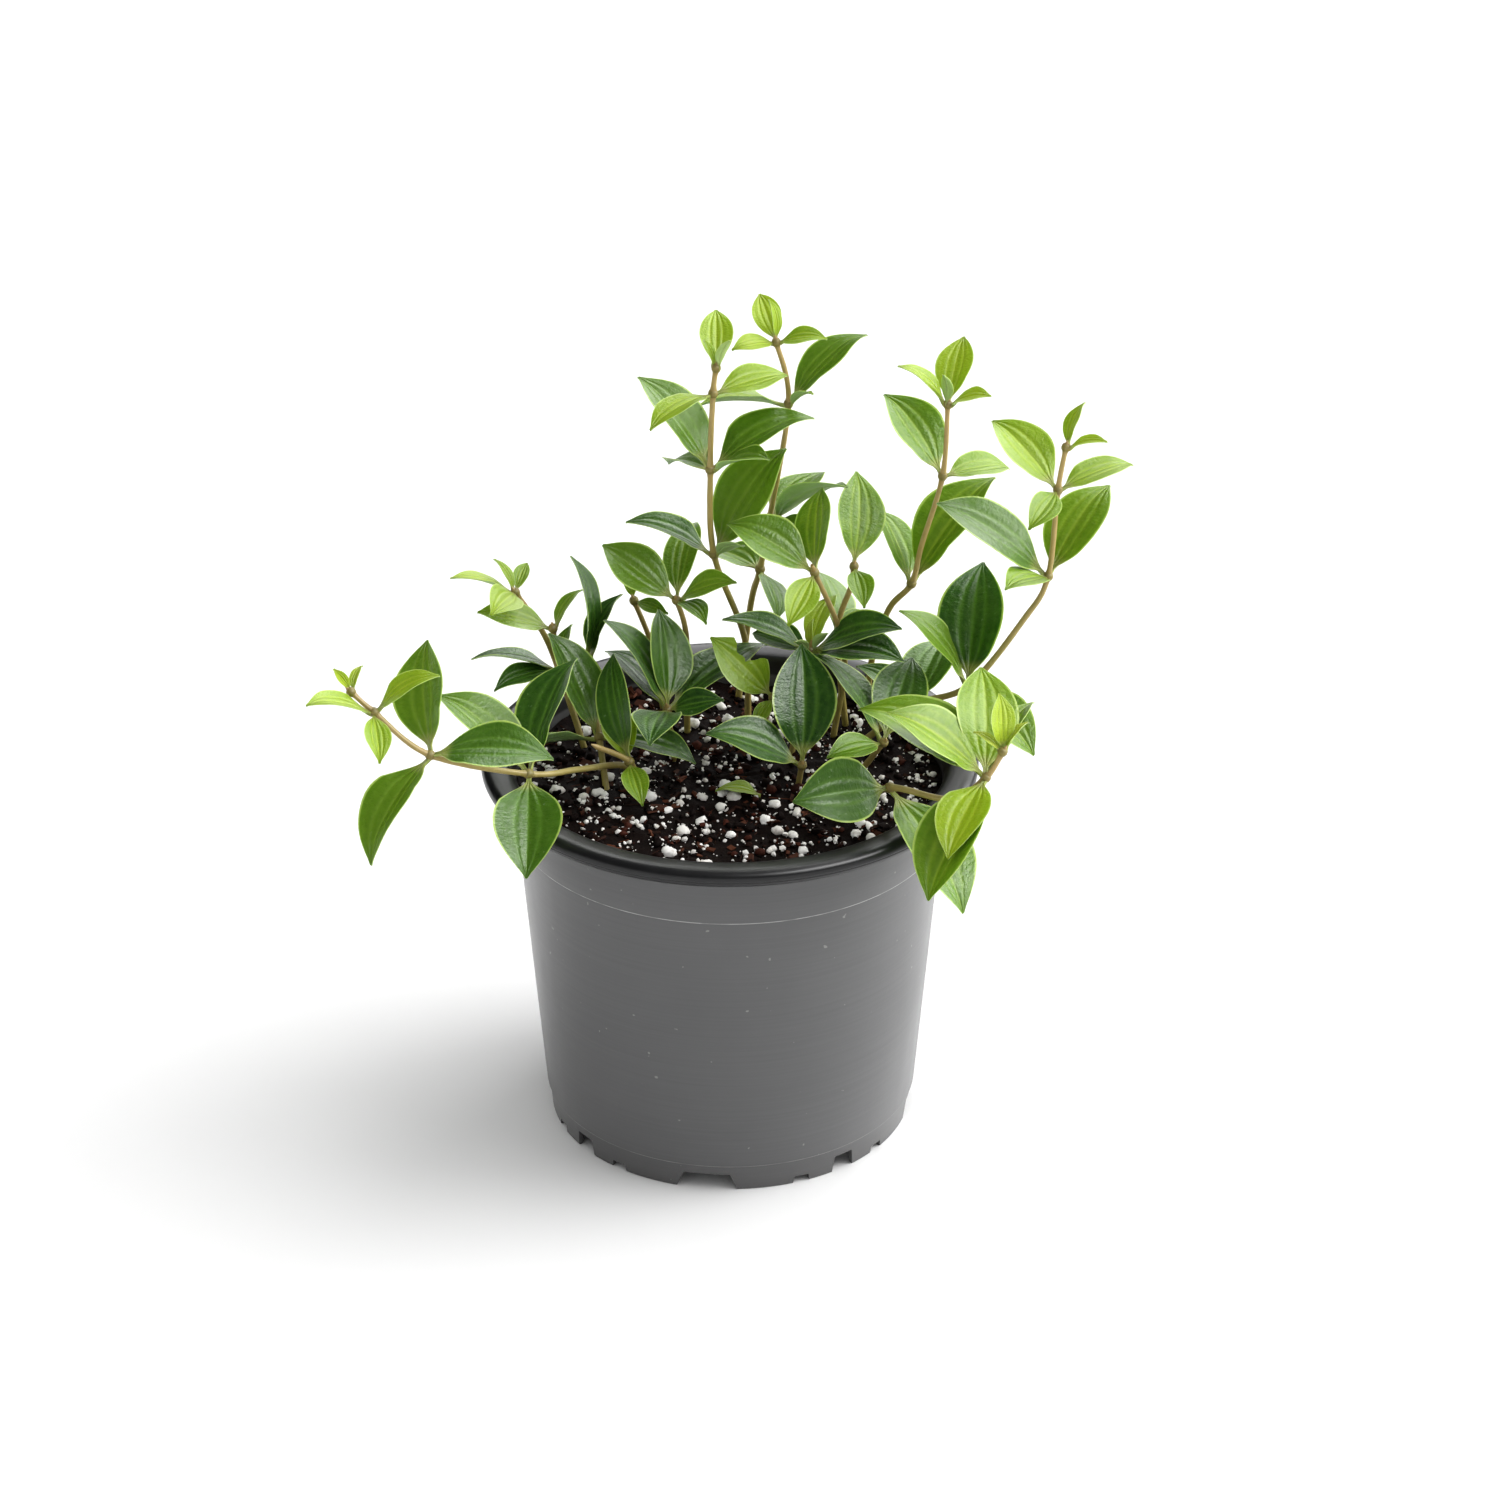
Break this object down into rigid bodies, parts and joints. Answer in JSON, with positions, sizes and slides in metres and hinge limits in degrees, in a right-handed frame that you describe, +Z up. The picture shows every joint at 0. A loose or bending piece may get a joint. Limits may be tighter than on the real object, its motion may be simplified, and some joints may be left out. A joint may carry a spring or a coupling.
{
  "type": "potted peperomia",
  "caption": "Trailing peperomia with whorls of striped, parallel-veined leaves on upright and arching stems, in a round nursery pot filled with soil.",
  "frame": {"origin": "centre of the bounding box in plan, at the plane the pot's foot ring stands on", "axes": "+Z up along the pot's axis, -Y towards the viewer's side with the bare soil, +X to the right"},
  "size_m": [0.2566, 0.1616, 0.267],
  "materials": {
    "pot": "satin",
    "soil": "matte",
    "stems": "satin",
    "leaves": "glossy",
    "young_leaves": "satin"
  },
  "bodies": {
    "root": {"pot": "pot", "soil": "soil", "stem_tall_left": "stems", "stem_tall_back": "stems", "stem_right_back": "stems", "stem_right_arching": "stems", "stem_centre": "stems", "stem_centre_back": "stems", "stem_centre_left": "stems", "stem_budding": "stems", "stem_left_back": "stems", "stem_left": "stems", "stem_left_low": "stems", "stem_left_trailing": "stems", "stem_front_left": "stems", "stem_right_front": "stems", "stem_front_low": "stems", "stem_front_upright": "stems", "stem_right_low": "stems", "stem_centre_low": "stems", "stem_centre_bud": "stems", "leaves_tall_left_1": "leaves", "leaves_tall_left_2": "leaves", "leaves_tall_left_3": "young_leaves", "leaves_tall_left_4": "young_leaves", "leaves_tall_back_1": "leaves", "leaves_tall_back_2": "leaves", "leaves_tall_back_3": "leaves", "leaves_tall_back_4": "young_leaves", "leaves_right_back_1": "leaves", "leaves_right_back_2": "leaves", "leaves_right_back_3": "young_leaves", "leaves_right_arching_1": "leaves", "leaves_right_arching_2": "leaves", "leaves_right_arching_3": "leaves", "leaves_right_arching_4": "leaves", "leaves_right_arching_5": "young_leaves", "leaves_centre_1": "leaves", "leaves_centre_back_1": "leaves", "leaves_centre_back_2": "leaves", "leaves_centre_left_1": "leaves", "leaves_budding_1": "young_leaves", "leaves_left_back_1": "young_leaves", "leaves_left_1": "leaves", "leaves_left_2": "young_leaves", "leaves_left_low_1": "leaves", "leaves_left_low_2": "leaves", "leaves_left_trailing_1": "leaves", "leaves_left_trailing_2": "leaves", "leaves_left_trailing_3": "young_leaves", "leaves_left_trailing_4": "young_leaves", "leaves_front_left_1": "leaves", "leaves_right_front_1": "leaves", "leaves_right_front_2": "leaves", "leaves_right_front_3": "young_leaves", "leaves_front_low_1": "leaves", "leaves_front_upright_1": "leaves", "leaves_right_low_1": "leaves", "leaves_centre_low_1": "leaves", "leaves_centre_bud_1": "leaves"}
  },
  "joints": []
}
